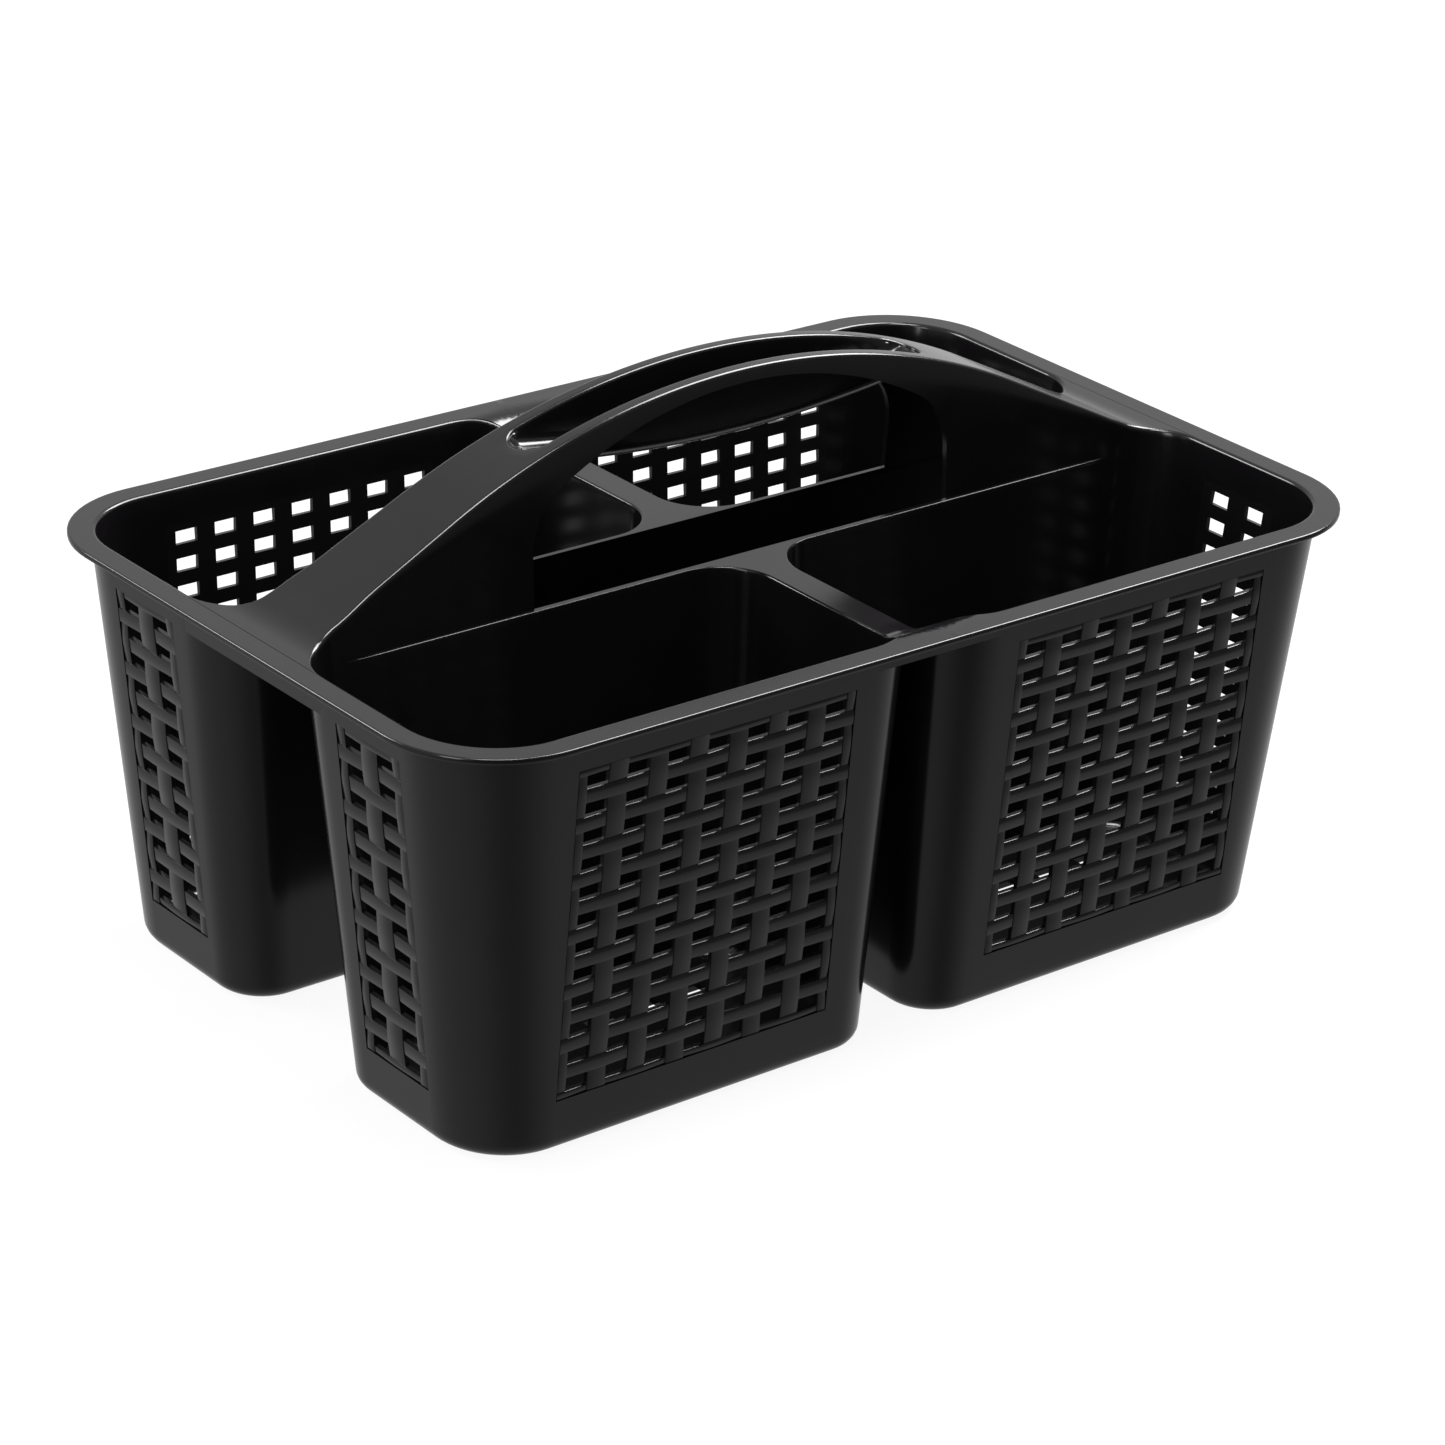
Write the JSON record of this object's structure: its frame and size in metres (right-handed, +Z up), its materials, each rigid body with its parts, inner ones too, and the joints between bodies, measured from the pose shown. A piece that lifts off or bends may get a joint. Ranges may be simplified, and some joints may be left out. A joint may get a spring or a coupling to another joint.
{
  "type": "shower caddy",
  "caption": "Free-standing carry caddy with deep draining tubs, woven-look wall panels and a fixed arched handle with a shallow trough along its top.",
  "frame": {"origin": "middle of the overall box in plan, at the height of the tubs' undersides, where the caddy stands", "axes": "+X along the handle and the long side, +Y across the handle towards the back tubs, +Z up"},
  "size_m": [0.38, 0.246, 0.2015],
  "materials": {
    "moulded_body": "black polypropylene, injection moulded, satin-gloss mould finish",
    "woven_panel": "black polypropylene, injection moulded with a raised woven relief, satin gloss"
  },
  "bodies": {
    "root": {"rim_flange": "moulded_body", "left_foot": "moulded_body", "right_foot": "moulded_body", "front_land": "moulded_body", "back_land": "moulded_body", "front_apron": "moulded_body", "back_apron": "moulded_body", "left_apron": "moulded_body", "right_apron": "moulded_body", "front_left_tub": "moulded_body", "front_right_tub": "moulded_body", "back_left_tub": "moulded_body", "back_right_tub": "moulded_body", "front_left_weave": "woven_panel", "front_right_weave": "woven_panel", "back_left_weave": "woven_panel", "back_right_weave": "woven_panel", "front_left_end_weave": "woven_panel", "front_right_end_weave": "woven_panel", "back_left_end_weave": "woven_panel", "back_right_end_weave": "woven_panel", "front_web": "moulded_body", "back_web": "moulded_body", "left_leg": "moulded_body", "right_leg": "moulded_body", "grip_rails": "moulded_body", "grip_trough": "moulded_body"}
  },
  "joints": []
}
